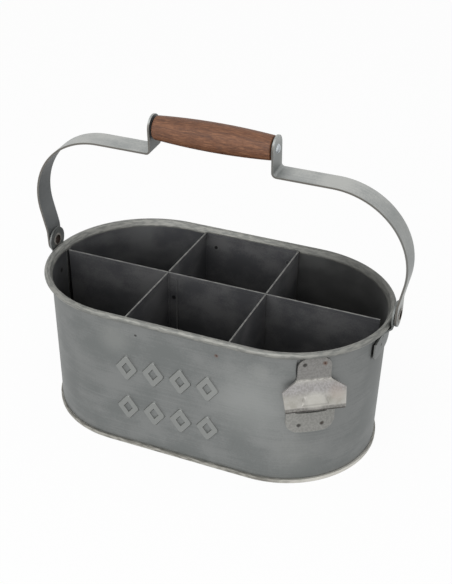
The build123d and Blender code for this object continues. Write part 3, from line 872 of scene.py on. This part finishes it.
    def pan(self) -> Material:
        """Galvanised sheet, seamed: its rolled foot is rubbed bright and brown, with painted light on its
        right end, and its inner face is darker as painted shade.

        Returns:
            The material of the base.
        """
        seam = Band(-self.margin_mm, self.foot_top_mm, "#7F7D77", "#A9A7A0", (9.0, 1.8, 1.8))
        return ZincSkin(
            "galvanised_sheet_seamed",
            oval=self.oval,
            shaded_inner_dark="#4A4B4C",
            bands=(seam,),
            marks=(self.foot_painted_light,),
            dirt_and_shade_most=0.4,
        ).build()

    def cell_marks(self) -> tuple[Mark, ...]:
        """Burnt welds inside the cells, and the painted shadow and painted highlight lines along the flanges'
        edges.

        Returns:
            The marks, the later ones on top.
        """
        web = self.oval.radius_mm(self.web_weld_height_mm) - self.web_inset_mm
        upright = {"most": 0.6, "ragged_mm": self.line_ragged_mm, "squeeze": self.edge_shadow_and_highlight_shape}
        marks = []
        for x, most in zip((-1, 1), self.web_weld_most):
            for y in (-1, 1):
                at = (x * self.web_weld_x_mm, y * web, self.web_weld_height_mm)
                marks.append(Mark(at, *self.cell_spot_mm, StainAndShade.SOOT_AND_SHADOW.value, most=most))
                face = y * self.flange_face_y_mm
                for height in self.flange_weld_heights_mm:
                    at = (x * self.flange_weld_x_mm, face, height)
                    marks.append(Mark(at, *self.flange_spot_mm, StainAndShade.SOOT_AND_SHADOW.value))
                # Painted shadow and painted highlight lines along the flange's edge
                for step, colour in self.edge_shadow_and_highlight_lines:
                    at = (x * (self.flange_edge_x_mm + step), face, self.flange_middle_height_mm)
                    marks.append(Mark(at, *self.edge_shadow_and_highlight_mm, colour, **upright))
        return tuple(marks)

    def cells(self) -> Material:
        """Galvanised sheet, folded: never rubbed but for its bright cut tops, painted darker further down as
        painted shade, and near-black in its corners with grime and painted shade.

        Returns:
            The material of the plates.
        """
        edge = self.plate_edge_mm
        soft = self.deep_shade_soft_mm
        # Painted shade: the cells are painted darker further down
        deep_shade = Band(*self.deep_shade_mm, "#323232", "#3B3B3B", (30.0, 30.0, 30.0), most=0.6, soft_mm=soft)
        cut = (self.plate_top_mm - edge, self.plate_top_mm + self.margin_mm)
        top = Band(*cut, "#626261", "#7B7B78", (9.0, 9.0, 9.0), soft_mm=0.1)
        fold = (self.hem_mm - edge, self.hem_mm + edge)
        hem = Band(*fold, "#6E6E6D", "#8B8B88", (12.0, 12.0, 12.0), most=0.55, soft_mm=0.2)
        return ZincSkin(
            "galvanised_sheet_folded",
            dark="#616265",
            light="#7A7A7B",
            lined=0.03,
            speckled=0.2,
            bands=(deep_shade, top, hem),
            marks=self.cell_marks(),
            rubbed="#929290",
            rubbed_most=0.6,
            # Near-black corners: grime and painted shade
            dirt_and_shade="#1E1D1E",
            dirt_and_shade_mm=6.0,
        ).build()

    def build(self, nodes: dict[str, Object]) -> None:
        """Dress every piece of the tub.

        Args:
            nodes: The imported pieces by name.
        """
        dress(nodes, ("tub_wall", "rim_wire"), self.wall())
        dress(nodes, ("base_pan",), self.pan())
        dress(nodes, ("long_divider", "front_cell_insert", "rear_cell_insert"), self.cells())


@dataclass
class Bail:
    """Straps, ears, pivots, rod and grip."""

    pivot_x_mm: float = 188.1
    pivot_height_mm: float = 163.3
    ear_weld_x_mm: float = 178.4
    ear_weld_y_mm: float = 12.5
    ear_weld_height_mm: float = 134.0

    # Inner and outer radius of the ears' burnt welds, of the grime round the rivets and of the rust in their
    # bores, darkened further as painted shade
    ear_spot_mm: Span = (0.8, 2.4)
    grime_mm: Span = (6.5, 13.0)
    bore_mm: Span = (4.7, 5.3)
    bore_shape: Point = (0.3, 1.0, 1.0)

    # Painted shade on the straps: the right upright and the right arm
    strap_painted_shade: tuple[Mark, ...] = (
        Mark((64.0, -11.0, 305.0), 6.0, 22.0, "#767978", most=0.65, ragged_mm=3.0),
        Mark((172.0, -8.0, 235.0), 25.0, 65.0, "#7F8281", most=0.4, ragged_mm=4.0),
    )
    knot: Mark = Mark((11.0, -25.0, 312.0), 0.5, 6.0, "#4E3427", most=0.5, ragged_mm=2.5)

    def pivots(self) -> list[Point]:
        """Middles of the two hollow rivets."""
        return [(side * self.pivot_x_mm, 0.0, self.pivot_height_mm) for side in (-1, 1)]

    def straps(self) -> Material:
        """Galvanised strap, bent: brushed along its length, grimy round the rivets, brown where sheared, with
        painted shade on its inner faces, its right upright and its right arm.

        Returns:
            The material of the straps.
        """
        soft = {"most": 0.5, "ragged_mm": 2.0}
        grimy = tuple(Mark(at, *self.grime_mm, StainAndShade.GRIME.value, **soft) for at in self.pivots())
        return ZincSkin(
            "galvanised_strap_bent",
            dark="#9A9D9C",
            light="#B7B8B5",
            lines_mm=(45.0, 1.0, 45.0),
            sheared="#6B6761",
            shaded_underside="#646768",
            marks=grimy + self.strap_painted_shade,
        ).build()

    def ears(self) -> Material:
        """Galvanised steel, pressed: evenly dull, with burnt welds.

        Returns:
            The material of the ears.
        """
        welds = tuple(
            Mark((side * self.ear_weld_x_mm, y, self.ear_weld_height_mm), *self.ear_spot_mm)
            for side in (-1, 1)
            for y in (-self.ear_weld_y_mm, self.ear_weld_y_mm)
        )
        return ZincSkin("galvanised_steel_pressed", lines_mm=(6.0, 6.0, 6.0), marks=welds).build()

    def rivets(self) -> Material:
        """Zinc-plated steel, turned: a small cloudy sheen, and rust in the bores, darkened further as painted
        shade.

        Returns:
            The material of rivets and washers.
        """
        rusty = {"most": 0.97, "ragged_mm": 0.2, "squeeze": self.bore_shape}
        return ZincSkin(
            "zinc_plated_steel_turned",
            dark="#7B7873",
            light="#A5A29C",
            lines_mm=(4.0, 4.0, 4.0),
            cloud_mm=(9.0, 9.0, 9.0),
            # Rust in the bores, darkened further as painted shade
            marks=tuple(Mark(at, *self.bore_mm, StainAndShade.BORE_RUST_AND_SHADE.value, **rusty) for at in self.pivots()),
        ).build()

    def rod(self) -> Material:
        """Zinc-plated steel, headed: smoother and brighter, so its heads have a blue shine.

        Returns:
            The material of the rod.
        """
        return ZincSkin(
            "zinc_plated_steel_headed",
            dark="#A3A8AC",
            light="#CDD2D6",
            lines_mm=(3.0, 3.0, 3.0),
            cloud_mm=(4.0, 4.0, 4.0),
            rubbed="#E3E6E8",
            roughness=0.36,
        ).build()

    def build(self, nodes: dict[str, Object]) -> None:
        """Dress every piece of the bail.

        Args:
            nodes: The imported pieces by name.
        """
        dress(nodes, ("bail_strap_left", "bail_strap_right"), self.straps())
        dress(nodes, ("ear_left", "ear_right"), self.ears())
        names = ("pivot_rivet_left", "pivot_rivet_right", "pivot_washer_left", "pivot_washer_right")
        dress(nodes, names, self.rivets())
        dress(nodes, ("grip_rod",), self.rod())
        dress(nodes, ("grip",), TurnedWood("stained_hardwood_turned", marks=(self.knot,)).build())


@dataclass
class Opener:
    """Pressed opener on the round end.

    Its real speckle is a few tenths of a millimetre wide: it is drawn 2 to 3 mm wide so that it shows.
    """

    oval: Oval = Oval()
    azimuth: float = 34.2
    height_mm: float = 105.0
    bend_mm: float = 21.0
    lip_mm: float = -6.4
    weld_out_mm: float = 2.2
    tab_weld_half_mm: float = 9.2
    tab_weld_mm: float = 38.5
    plate_weld_half_mm: float = 11.0
    plate_weld_mm: float = -32.0
    speckle_mm: Point = (2.0, 2.0, 2.0)
    bend_speckle_mm: Point = (3.0, 3.0, 1.6)
    # Shape of the painted shade on the fold beside the pad
    fold_shade_shape: Point = (1.0, 1.0, 0.35)

    def at(self, across_mm: float, up_mm: float, out_mm: float) -> Point:
        """Give a point on the opener.

        Args:
            across_mm: Distance to the right of its middle line.
            up_mm: Height over its own zero.
            out_mm: Distance outward from the middle of the wall's sheet.

        Returns:
            The point, in millimetres.
        """
        turn = math.degrees(across_mm / self.oval.foot_radius_mm)
        return self.oval.on_end(self.azimuth + turn, self.height_mm + up_mm, out_mm)

    def smudges_highlight_and_shade(self) -> tuple[Mark, ...]:
        """A brown smudge, two grey ones, a painted highlight on the pad and painted shade on the fold beside
        it, all on the hood.

        Returns:
            The marks, the later ones on top.
        """
        fold = {"most": 0.8, "ragged_mm": 0.3, "squeeze": self.fold_shade_shape}
        return (
            Mark(self.at(19.0, 8.0, 9.0), 3.0, 12.0, "#A08F85", most=0.28, ragged_mm=4.0),
            Mark(self.at(12.0, 4.0, 11.0), 0.5, 4.5, "#84817B", most=0.4, ragged_mm=3.0),
            Mark(self.at(-12.0, 4.0, 11.0), 0.5, 4.5, "#84817B", most=0.3, ragged_mm=3.0),
            # Painted highlight on the pad, and painted shade on the fold beside it
            Mark(self.at(0.0, 3.0, 12.5), 5.0, 12.0, "#BFBDB7", most=0.45, ragged_mm=3.0),
            Mark(self.at(-9.9, 3.8, 11.0), 0.8, 2.0, "#85837E", **fold),
        )

    def welds(self) -> tuple[Mark, ...]:
        """Burnt welds of tab and lower plate, one of them rusty.

        Returns:
            The marks, the later ones on top.
        """
        left, rusty, low_left, low_right = (
            self.at(side * half, up, self.weld_out_mm)
            for half, up in (
                (self.tab_weld_half_mm, self.tab_weld_mm),
                (self.plate_weld_half_mm, self.plate_weld_mm),
            )
            for side in (-1, 1)
        )
        return (
            Mark(left, 1.1, 3.0),
            Mark(rusty, 0.9, 3.4, StainAndShade.RUST.value, most=0.75),
            Mark(rusty, 0.3, 1.4, StainAndShade.DARK_RUST.value, most=0.8),
            Mark(low_left, 1.1, 3.0),
            Mark(low_right, 1.0, 3.2, StainAndShade.BROWN.value),
        )

    def bands(self) -> tuple[Band, ...]:
        """Tab, rubbed bend, upper hood, lip painted darker as painted shade with a painted shadow along its
        lower edge, and lower plate.

        Returns:
            The bands, the later ones on top.
        """
        bend = self.height_mm + self.bend_mm
        lip = self.height_mm + self.lip_mm
        fine = self.speckle_mm
        return (
            Band(bend + 1.0, bend + 40.0, "#7D7C7A", "#8B8A88", fine, most=0.85, soft_mm=1.5),
            Band(bend - 0.9, bend + 1.4, "#8B8985", "#C9C7C0", self.bend_speckle_mm, most=0.6, soft_mm=0.7),
            Band(bend - 12.0, bend - 1.5, "#807D7F", "#9A989A", fine, most=0.6, soft_mm=4.0),
            # The lip is painted darker as painted shade, and a painted shadow runs along its lower edge
            Band(lip, lip + 4.4, "#757370", "#8C8A86", fine, most=0.85, soft_mm=0.4),
            Band(lip - 1.5, lip + 1.1, "#353230", "#4A4744", fine, most=0.9, soft_mm=0.3),
            Band(0.0, lip - 1.5, "#858582", "#949490", fine, most=0.85, soft_mm=1.0),
        )

    def build(self, nodes: dict[str, Object]) -> None:
        """Dress the opener in zinc-plated steel, tumbled: warm grey, speckled and without any direction.

        Args:
            nodes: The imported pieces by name.
        """
        steel = ZincSkin(
            "zinc_plated_steel_tumbled",
            dark="#9B9992",
            light="#ABA9A4",
            lines_mm=(5.0, 5.0, 5.0),
            cloud_mm=(16.0, 16.0, 12.0),
            bands=self.bands(),
            marks=self.smudges_highlight_and_shade() + self.welds(),
            rubbed="#C4C2BB",
            roughness=0.6,
        )
        dress(nodes, ("bottle_opener",), steel.build())


def main() -> None:
    """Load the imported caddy, dress it and set up the studio."""
    logging.basicConfig(level=logging.INFO, format="%(message)s")
    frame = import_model()
    nodes = frame["nodes"]
    Studio().build()
    for assembly in (Tub(), Bail(), Opener()):
        assembly.build(nodes)


if __name__ == "__main__":
    main()
